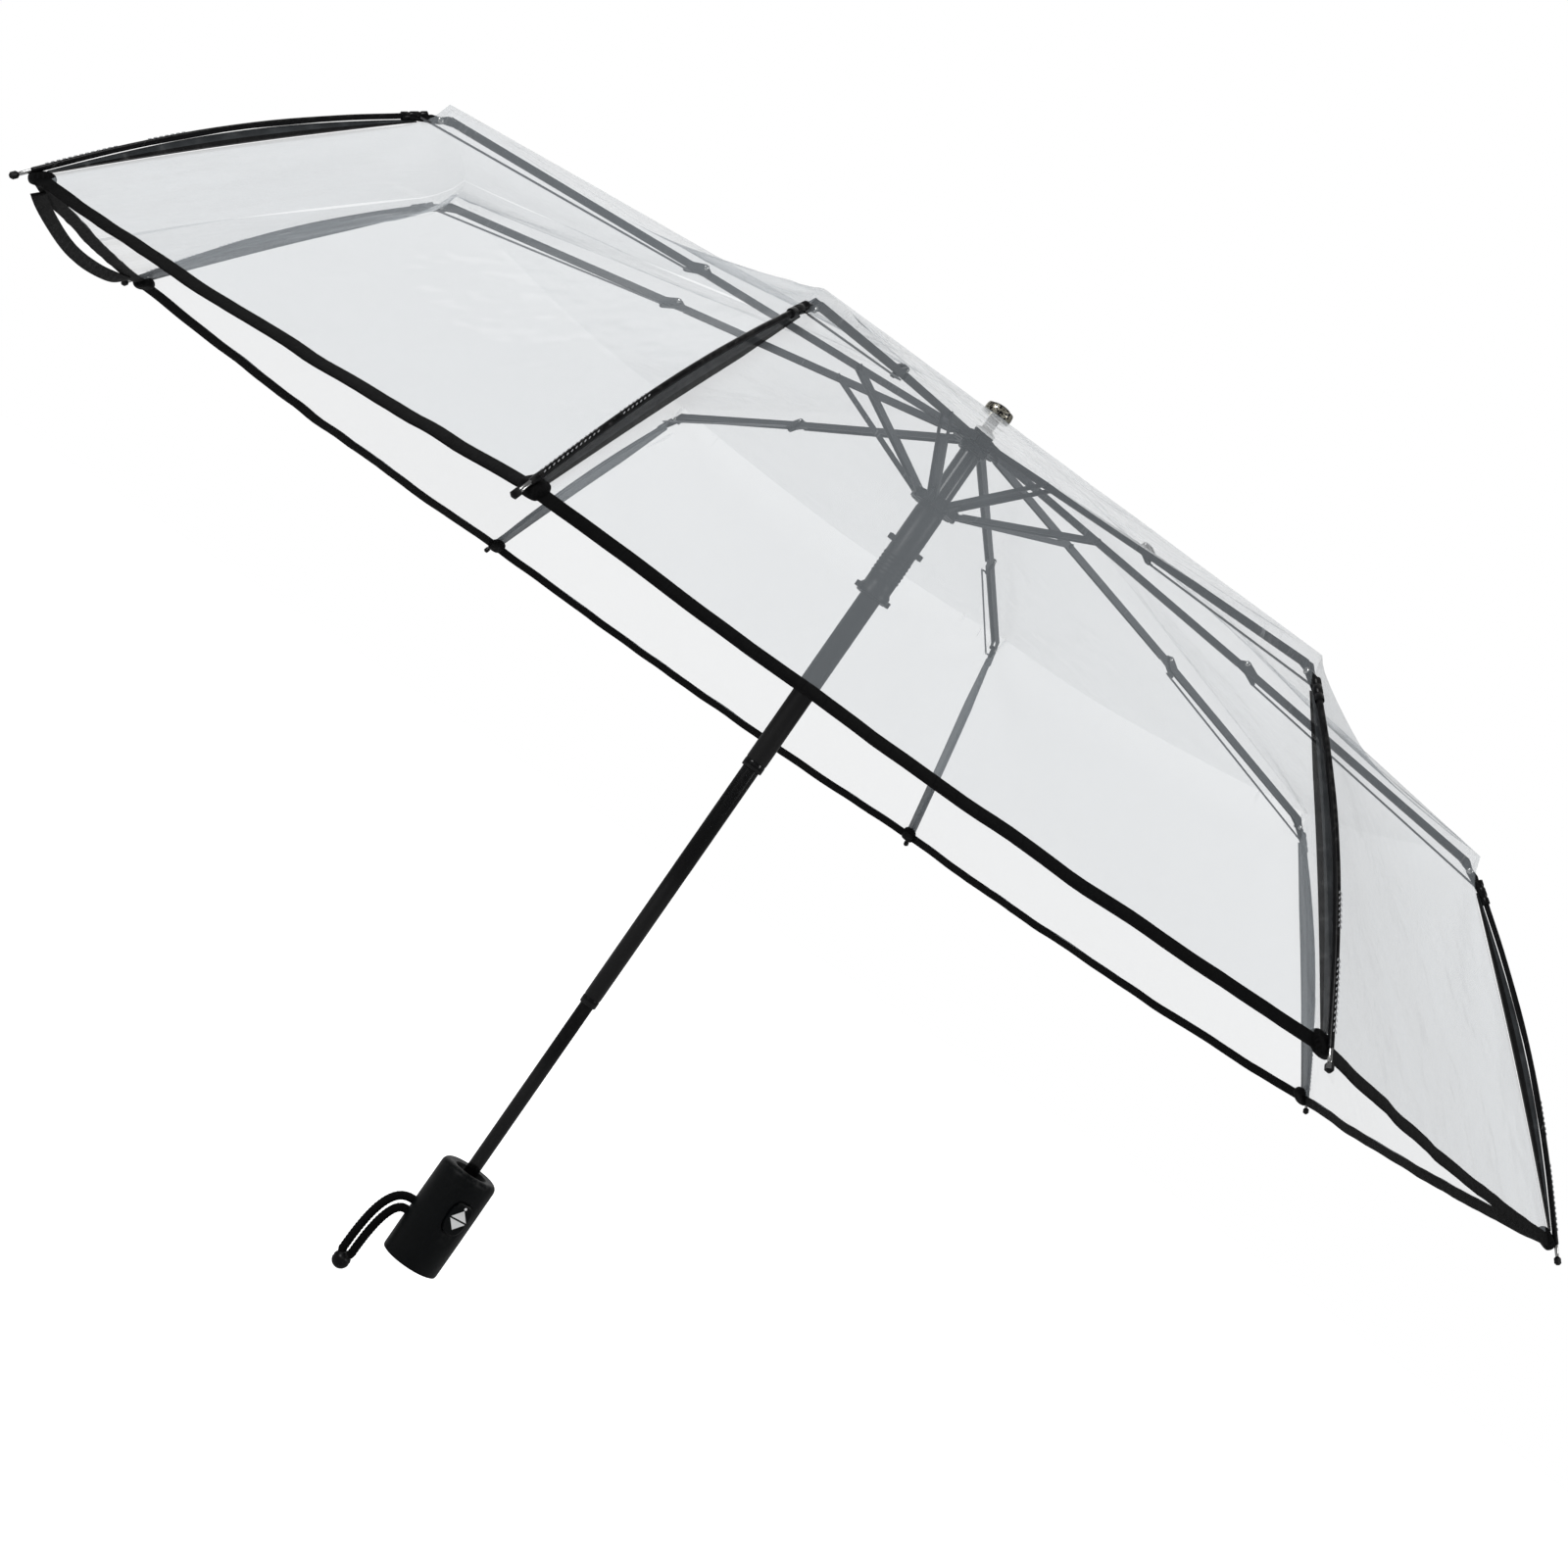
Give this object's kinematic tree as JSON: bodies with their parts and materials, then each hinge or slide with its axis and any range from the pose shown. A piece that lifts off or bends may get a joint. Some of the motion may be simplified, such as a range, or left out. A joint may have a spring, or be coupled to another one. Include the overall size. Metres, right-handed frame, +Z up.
{
  "type": "folding umbrella",
  "caption": "Open three-fold umbrella with a clear film canopy on hinged ribs, a telescoping black shaft and a short push-button grip with a wrist strap.",
  "frame": {"origin": "centre of the handle's flat bottom face", "axes": "+Z up the shaft to the cap, -Y is the side that the push button faces"},
  "size_m": [0.9806, 0.9806, 0.5952],
  "materials": {
    "handle_rubber": "matt soft-touch coating",
    "black_plastic": "moulded, satin",
    "button_plastic": "moulded, satin, with a plain white two-triangle mark",
    "cap_black": "glossy",
    "bead_black": "semi-gloss",
    "shaft_black": "gloss black over steel tube",
    "rib_steel": "black zinc-coated steel strip",
    "link_wire": "drawn wire",
    "rod_black": "black glass-fibre rod",
    "spring_wire": "drawn wire",
    "speckled_metal": "bright, speckled",
    "clear_film": "clear soft film, glossy",
    "woven_tape": "woven tape",
    "braided_cord": "braided cord"
  },
  "bodies": {
    "handle": {"handle_shell": "handle_rubber", "handle_end_cap": "black_plastic", "tube_socket": "black_plastic", "button_spring": "spring_wire", "lower_tube": "shaft_black", "opening_spring": "spring_wire", "strap_strand_upper": "braided_cord", "strap_strand_lower": "braided_cord", "strap_bead": "bead_black"},
    "button": {"push_button": "button_plastic"},
    "middle_shaft": {"middle_tube": "shaft_black"},
    "upper_shaft": {"upper_tube": "shaft_black", "crown": "black_plastic", "ferrule_post": "black_plastic", "ferrule_rim": "speckled_metal", "ferrule_cap": "cap_black", "canopy": "clear_film", "rim_binding": "woven_tape", "closure_strap": "woven_tape"},
    "runner": {"runner": "black_plastic"},
    "top_rib_1": {"top_rib_1": "rib_steel"},
    "middle_rib_1": {"middle_rib_1": "rib_steel"},
    "outer_rib_1": {"outer_rib_1": "rod_black"},
    "stretcher_1": {"stretcher_1": "rib_steel"},
    "link_rod_1": {"link_rod_1": "link_wire"},
    "top_rib_2": {"top_rib_2": "rib_steel"},
    "middle_rib_2": {"middle_rib_2": "rib_steel"},
    "outer_rib_2": {"outer_rib_2": "rod_black"},
    "stretcher_2": {"stretcher_2": "rib_steel"},
    "link_rod_2": {"link_rod_2": "link_wire"},
    "top_rib_3": {"top_rib_3": "rib_steel"},
    "middle_rib_3": {"middle_rib_3": "rib_steel"},
    "outer_rib_3": {"outer_rib_3": "rod_black"},
    "stretcher_3": {"stretcher_3": "rib_steel"},
    "link_rod_3": {"link_rod_3": "link_wire"},
    "top_rib_4": {"top_rib_4": "rib_steel"},
    "middle_rib_4": {"middle_rib_4": "rib_steel"},
    "outer_rib_4": {"outer_rib_4": "rod_black"},
    "stretcher_4": {"stretcher_4": "rib_steel"},
    "link_rod_4": {"link_rod_4": "link_wire"},
    "top_rib_5": {"top_rib_5": "rib_steel"},
    "middle_rib_5": {"middle_rib_5": "rib_steel"},
    "outer_rib_5": {"outer_rib_5": "rod_black"},
    "stretcher_5": {"stretcher_5": "rib_steel"},
    "link_rod_5": {"link_rod_5": "link_wire"},
    "top_rib_6": {"top_rib_6": "rib_steel"},
    "middle_rib_6": {"middle_rib_6": "rib_steel"},
    "outer_rib_6": {"outer_rib_6": "rod_black"},
    "stretcher_6": {"stretcher_6": "rib_steel"},
    "link_rod_6": {"link_rod_6": "link_wire"},
    "top_rib_7": {"top_rib_7": "rib_steel"},
    "middle_rib_7": {"middle_rib_7": "rib_steel"},
    "outer_rib_7": {"outer_rib_7": "rod_black"},
    "stretcher_7": {"stretcher_7": "rib_steel"},
    "link_rod_7": {"link_rod_7": "link_wire"},
    "top_rib_8": {"top_rib_8": "rib_steel"},
    "middle_rib_8": {"middle_rib_8": "rib_steel"},
    "outer_rib_8": {"outer_rib_8": "rod_black"},
    "stretcher_8": {"stretcher_8": "rib_steel"},
    "link_rod_8": {"link_rod_8": "link_wire"}
  },
  "joints": [
    {"name": "button_press", "type": "slide", "parent": "handle", "child": "button", "axis": [0, 1, 0], "range_m": [0, 0.002], "stiffness_N_per_m": 600, "springref_m": -0.002, "deforming": ["button_spring"]},
    {"name": "middle_slide", "type": "slide", "parent": "handle", "child": "middle_shaft", "axis": [0, 0, -1], "range_m": [0, 0.106]},
    {"name": "upper_slide", "type": "slide", "parent": "middle_shaft", "child": "upper_shaft", "axis": [0, 0, -1], "range_m": [0, 0.1525], "deforming": ["opening_spring"]},
    {"name": "runner_slide", "type": "slide", "parent": "upper_shaft", "child": "runner", "axis": [0, 0, -1], "range_m": [0, 0.11422], "deforming": ["canopy", "rim_binding", "closure_strap"]},
    {"name": "top_hinge_1", "type": "hinge", "parent": "upper_shaft", "child": "top_rib_1", "pos_m": [-0.0125, 0, 0.545], "axis": [0, 1, 0], "range_deg": [-80.5, 0.5]},
    {"name": "stretcher_hinge_1", "type": "hinge", "parent": "runner", "child": "stretcher_1", "pos_m": [-0.0125, 0, 0.504], "axis": [0, 1, 0], "range_deg": [-0.5, 66.27]},
    {"name": "elbow_1", "type": "hinge", "parent": "top_rib_1", "child": "middle_rib_1", "pos_m": [-0.19111, 0, 0.52252], "axis": [0, 1, 0], "range_deg": [-0.5, 181]},
    {"name": "knee_1", "type": "hinge", "parent": "middle_rib_1", "child": "outer_rib_1", "pos_m": [-0.34562, 0, 0.49417], "axis": [0, 1, 0], "range_deg": [-143.9, 0.5]},
    {"name": "link_pivot_1", "type": "hinge", "parent": "top_rib_1", "child": "link_rod_1", "pos_m": [-0.19919, 0, 0.51533], "axis": [0, 1, 0], "range_deg": [-0.5, 177]},
    {"name": "top_hinge_2", "type": "hinge", "parent": "upper_shaft", "child": "top_rib_2", "pos_m": [-0.00884, -0.00884, 0.545], "axis": [-0.7071, 0.7071, 0], "range_deg": [-80.5, 0.5]},
    {"name": "stretcher_hinge_2", "type": "hinge", "parent": "runner", "child": "stretcher_2", "pos_m": [-0.00884, -0.00884, 0.504], "axis": [-0.7071, 0.7071, 0], "range_deg": [-0.5, 66.27]},
    {"name": "elbow_2", "type": "hinge", "parent": "top_rib_2", "child": "middle_rib_2", "pos_m": [-0.13514, -0.13514, 0.52252], "axis": [-0.7071, 0.7071, 0], "range_deg": [-0.5, 181]},
    {"name": "knee_2", "type": "hinge", "parent": "middle_rib_2", "child": "outer_rib_2", "pos_m": [-0.24439, -0.24439, 0.49417], "axis": [-0.7071, 0.7071, 0], "range_deg": [-143.9, 0.5]},
    {"name": "link_pivot_2", "type": "hinge", "parent": "top_rib_2", "child": "link_rod_2", "pos_m": [-0.14085, -0.14085, 0.51533], "axis": [-0.7071, 0.7071, 0], "range_deg": [-0.5, 177]},
    {"name": "top_hinge_3", "type": "hinge", "parent": "upper_shaft", "child": "top_rib_3", "pos_m": [0, -0.0125, 0.545], "axis": [-1, 0, 0], "range_deg": [-80.5, 0.5]},
    {"name": "stretcher_hinge_3", "type": "hinge", "parent": "runner", "child": "stretcher_3", "pos_m": [0, -0.0125, 0.504], "axis": [-1, 0, 0], "range_deg": [-0.5, 66.27]},
    {"name": "elbow_3", "type": "hinge", "parent": "top_rib_3", "child": "middle_rib_3", "pos_m": [0, -0.19111, 0.52252], "axis": [-1, 0, 0], "range_deg": [-0.5, 181]},
    {"name": "knee_3", "type": "hinge", "parent": "middle_rib_3", "child": "outer_rib_3", "pos_m": [0, -0.34562, 0.49417], "axis": [-1, 0, 0], "range_deg": [-143.9, 0.5]},
    {"name": "link_pivot_3", "type": "hinge", "parent": "top_rib_3", "child": "link_rod_3", "pos_m": [0, -0.19919, 0.51533], "axis": [-1, 0, 0], "range_deg": [-0.5, 177]},
    {"name": "top_hinge_4", "type": "hinge", "parent": "upper_shaft", "child": "top_rib_4", "pos_m": [0.00884, -0.00884, 0.545], "axis": [-0.7071, -0.7071, 0], "range_deg": [-80.5, 0.5]},
    {"name": "stretcher_hinge_4", "type": "hinge", "parent": "runner", "child": "stretcher_4", "pos_m": [0.00884, -0.00884, 0.504], "axis": [-0.7071, -0.7071, 0], "range_deg": [-0.5, 66.27]},
    {"name": "elbow_4", "type": "hinge", "parent": "top_rib_4", "child": "middle_rib_4", "pos_m": [0.13514, -0.13514, 0.52252], "axis": [-0.7071, -0.7071, 0], "range_deg": [-0.5, 181]},
    {"name": "knee_4", "type": "hinge", "parent": "middle_rib_4", "child": "outer_rib_4", "pos_m": [0.24439, -0.24439, 0.49417], "axis": [-0.7071, -0.7071, 0], "range_deg": [-143.9, 0.5]},
    {"name": "link_pivot_4", "type": "hinge", "parent": "top_rib_4", "child": "link_rod_4", "pos_m": [0.14085, -0.14085, 0.51533], "axis": [-0.7071, -0.7071, 0], "range_deg": [-0.5, 177]},
    {"name": "top_hinge_5", "type": "hinge", "parent": "upper_shaft", "child": "top_rib_5", "pos_m": [0.0125, 0, 0.545], "axis": [0, -1, 0], "range_deg": [-80.5, 0.5]},
    {"name": "stretcher_hinge_5", "type": "hinge", "parent": "runner", "child": "stretcher_5", "pos_m": [0.0125, 0, 0.504], "axis": [0, -1, 0], "range_deg": [-0.5, 66.27]},
    {"name": "elbow_5", "type": "hinge", "parent": "top_rib_5", "child": "middle_rib_5", "pos_m": [0.19111, 0, 0.52252], "axis": [0, -1, 0], "range_deg": [-0.5, 181]},
    {"name": "knee_5", "type": "hinge", "parent": "middle_rib_5", "child": "outer_rib_5", "pos_m": [0.34562, 0, 0.49417], "axis": [0, -1, 0], "range_deg": [-143.9, 0.5]},
    {"name": "link_pivot_5", "type": "hinge", "parent": "top_rib_5", "child": "link_rod_5", "pos_m": [0.19919, 0, 0.51533], "axis": [0, -1, 0], "range_deg": [-0.5, 177]},
    {"name": "top_hinge_6", "type": "hinge", "parent": "upper_shaft", "child": "top_rib_6", "pos_m": [0.00884, 0.00884, 0.545], "axis": [0.7071, -0.7071, 0], "range_deg": [-80.5, 0.5]},
    {"name": "stretcher_hinge_6", "type": "hinge", "parent": "runner", "child": "stretcher_6", "pos_m": [0.00884, 0.00884, 0.504], "axis": [0.7071, -0.7071, 0], "range_deg": [-0.5, 66.27]},
    {"name": "elbow_6", "type": "hinge", "parent": "top_rib_6", "child": "middle_rib_6", "pos_m": [0.13514, 0.13514, 0.52252], "axis": [0.7071, -0.7071, 0], "range_deg": [-0.5, 181]},
    {"name": "knee_6", "type": "hinge", "parent": "middle_rib_6", "child": "outer_rib_6", "pos_m": [0.24439, 0.24439, 0.49417], "axis": [0.7071, -0.7071, 0], "range_deg": [-143.9, 0.5]},
    {"name": "link_pivot_6", "type": "hinge", "parent": "top_rib_6", "child": "link_rod_6", "pos_m": [0.14085, 0.14085, 0.51533], "axis": [0.7071, -0.7071, 0], "range_deg": [-0.5, 177]},
    {"name": "top_hinge_7", "type": "hinge", "parent": "upper_shaft", "child": "top_rib_7", "pos_m": [0, 0.0125, 0.545], "axis": [1, 0, 0], "range_deg": [-80.5, 0.5]},
    {"name": "stretcher_hinge_7", "type": "hinge", "parent": "runner", "child": "stretcher_7", "pos_m": [0, 0.0125, 0.504], "axis": [1, 0, 0], "range_deg": [-0.5, 66.27]},
    {"name": "elbow_7", "type": "hinge", "parent": "top_rib_7", "child": "middle_rib_7", "pos_m": [0, 0.19111, 0.52252], "axis": [1, 0, 0], "range_deg": [-0.5, 181]},
    {"name": "knee_7", "type": "hinge", "parent": "middle_rib_7", "child": "outer_rib_7", "pos_m": [0, 0.34562, 0.49417], "axis": [1, 0, 0], "range_deg": [-143.9, 0.5]},
    {"name": "link_pivot_7", "type": "hinge", "parent": "top_rib_7", "child": "link_rod_7", "pos_m": [0, 0.19919, 0.51533], "axis": [1, 0, 0], "range_deg": [-0.5, 177]},
    {"name": "top_hinge_8", "type": "hinge", "parent": "upper_shaft", "child": "top_rib_8", "pos_m": [-0.00884, 0.00884, 0.545], "axis": [0.7071, 0.7071, 0], "range_deg": [-80.5, 0.5]},
    {"name": "stretcher_hinge_8", "type": "hinge", "parent": "runner", "child": "stretcher_8", "pos_m": [-0.00884, 0.00884, 0.504], "axis": [0.7071, 0.7071, 0], "range_deg": [-0.5, 66.27]},
    {"name": "elbow_8", "type": "hinge", "parent": "top_rib_8", "child": "middle_rib_8", "pos_m": [-0.13514, 0.13514, 0.52252], "axis": [0.7071, 0.7071, 0], "range_deg": [-0.5, 181]},
    {"name": "knee_8", "type": "hinge", "parent": "middle_rib_8", "child": "outer_rib_8", "pos_m": [-0.24439, 0.24439, 0.49417], "axis": [0.7071, 0.7071, 0], "range_deg": [-143.9, 0.5]},
    {"name": "link_pivot_8", "type": "hinge", "parent": "top_rib_8", "child": "link_rod_8", "pos_m": [-0.14085, 0.14085, 0.51533], "axis": [0.7071, 0.7071, 0], "range_deg": [-0.5, 177]}
  ],
  "couplings": [
    {"joint": "top_hinge_1", "follows": "runner_slide", "rad_per_m": -12.224},
    {"joint": "stretcher_hinge_1", "follows": "runner_slide", "rad_per_m": 10.049},
    {"joint": "elbow_1", "follows": "runner_slide", "rad_per_m": 27.58},
    {"joint": "knee_1", "follows": "runner_slide", "rad_per_m": -21.912},
    {"joint": "link_pivot_1", "follows": "runner_slide", "rad_per_m": 26.969},
    {"joint": "top_hinge_2", "follows": "runner_slide", "rad_per_m": -12.224},
    {"joint": "stretcher_hinge_2", "follows": "runner_slide", "rad_per_m": 10.049},
    {"joint": "elbow_2", "follows": "runner_slide", "rad_per_m": 27.58},
    {"joint": "knee_2", "follows": "runner_slide", "rad_per_m": -21.912},
    {"joint": "link_pivot_2", "follows": "runner_slide", "rad_per_m": 26.969},
    {"joint": "top_hinge_3", "follows": "runner_slide", "rad_per_m": -12.224},
    {"joint": "stretcher_hinge_3", "follows": "runner_slide", "rad_per_m": 10.049},
    {"joint": "elbow_3", "follows": "runner_slide", "rad_per_m": 27.58},
    {"joint": "knee_3", "follows": "runner_slide", "rad_per_m": -21.912},
    {"joint": "link_pivot_3", "follows": "runner_slide", "rad_per_m": 26.969},
    {"joint": "top_hinge_4", "follows": "runner_slide", "rad_per_m": -12.224},
    {"joint": "stretcher_hinge_4", "follows": "runner_slide", "rad_per_m": 10.049},
    {"joint": "elbow_4", "follows": "runner_slide", "rad_per_m": 27.58},
    {"joint": "knee_4", "follows": "runner_slide", "rad_per_m": -21.912},
    {"joint": "link_pivot_4", "follows": "runner_slide", "rad_per_m": 26.969},
    {"joint": "top_hinge_5", "follows": "runner_slide", "rad_per_m": -12.224},
    {"joint": "stretcher_hinge_5", "follows": "runner_slide", "rad_per_m": 10.049},
    {"joint": "elbow_5", "follows": "runner_slide", "rad_per_m": 27.58},
    {"joint": "knee_5", "follows": "runner_slide", "rad_per_m": -21.912},
    {"joint": "link_pivot_5", "follows": "runner_slide", "rad_per_m": 26.969},
    {"joint": "top_hinge_6", "follows": "runner_slide", "rad_per_m": -12.224},
    {"joint": "stretcher_hinge_6", "follows": "runner_slide", "rad_per_m": 10.049},
    {"joint": "elbow_6", "follows": "runner_slide", "rad_per_m": 27.58},
    {"joint": "knee_6", "follows": "runner_slide", "rad_per_m": -21.912},
    {"joint": "link_pivot_6", "follows": "runner_slide", "rad_per_m": 26.969},
    {"joint": "top_hinge_7", "follows": "runner_slide", "rad_per_m": -12.224},
    {"joint": "stretcher_hinge_7", "follows": "runner_slide", "rad_per_m": 10.049},
    {"joint": "elbow_7", "follows": "runner_slide", "rad_per_m": 27.58},
    {"joint": "knee_7", "follows": "runner_slide", "rad_per_m": -21.912},
    {"joint": "link_pivot_7", "follows": "runner_slide", "rad_per_m": 26.969},
    {"joint": "top_hinge_8", "follows": "runner_slide", "rad_per_m": -12.224},
    {"joint": "stretcher_hinge_8", "follows": "runner_slide", "rad_per_m": 10.049},
    {"joint": "elbow_8", "follows": "runner_slide", "rad_per_m": 27.58},
    {"joint": "knee_8", "follows": "runner_slide", "rad_per_m": -21.912},
    {"joint": "link_pivot_8", "follows": "runner_slide", "rad_per_m": 26.969}
  ]
}
